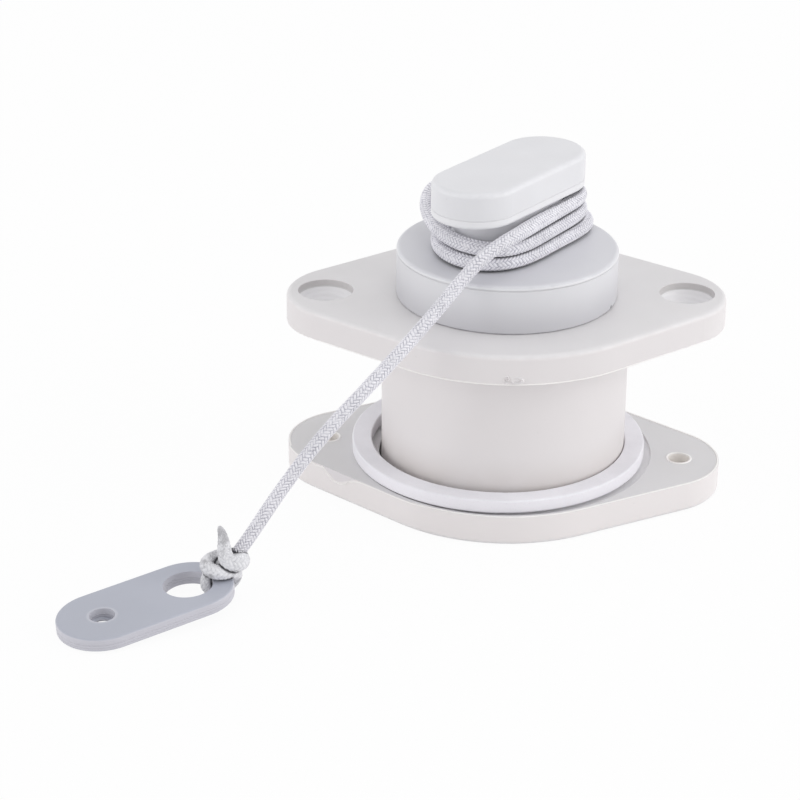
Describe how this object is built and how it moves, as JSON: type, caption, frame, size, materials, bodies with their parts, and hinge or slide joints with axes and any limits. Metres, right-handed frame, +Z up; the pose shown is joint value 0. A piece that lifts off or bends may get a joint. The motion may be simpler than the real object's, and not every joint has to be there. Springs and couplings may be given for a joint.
{
  "type": "scupper drain cap",
  "caption": "Screw-in drain plug with an oblong knob in a lozenge-flanged through-hull socket, with loose backing flange, gasket, cord and screw-down tab.",
  "frame": {"origin": "on the axis of the through-hull tube, at its foot, which is level with the floor", "axes": "+Z up the tube to the plug's knob, +X along the socket's two screw holes, -Y towards the side the cord leaves from"},
  "size_m": [0.0978, 0.0817, 0.0518],
  "materials": {
    "socket_plastic": "satin white, slightly warm",
    "plug_plastic": "satin white",
    "backing_plastic": "satin white",
    "gasket_rubber": "smooth, bluish white",
    "seal_rubber": "smooth black",
    "cord_braid": "braided white cord",
    "tab_plastic": "satin blue-grey"
  },
  "bodies": {
    "socket": {"drain_socket": "socket_plastic"},
    "gasket": {"gasket_ring": "gasket_rubber"},
    "backing": {"backing_flange": "backing_plastic"},
    "leash": {"cord_winding": "cord_braid", "cord_lead": "cord_braid", "cord_knot": "cord_braid", "retaining_tab": "tab_plastic"},
    "plug": {"drain_plug": "plug_plastic", "o_ring_seal": "seal_rubber"}
  },
  "joints": [
    {"name": "backing_slide", "type": "slide", "parent": "socket", "child": "gasket", "axis": [0, 0, 1], "range_m": [0, 0.0195]},
    {"name": "backing_turn", "type": "hinge", "parent": "gasket", "child": "backing", "pos_m": [0, 0, 0], "axis": [0, 0, 1], "continuous": true},
    {"name": "plug_lift", "type": "slide", "parent": "socket", "child": "leash", "axis": [0, 0, 1], "range_m": [0, 0.012]},
    {"name": "plug_turn", "type": "hinge", "parent": "leash", "child": "plug", "pos_m": [0, 0, 0.0312], "axis": [0, 0, 1], "range_deg": [0, 1080]}
  ],
  "couplings": [
    {"joint": "plug_lift", "follows": "plug_turn", "m_per_rad": 0.0006366}
  ]
}
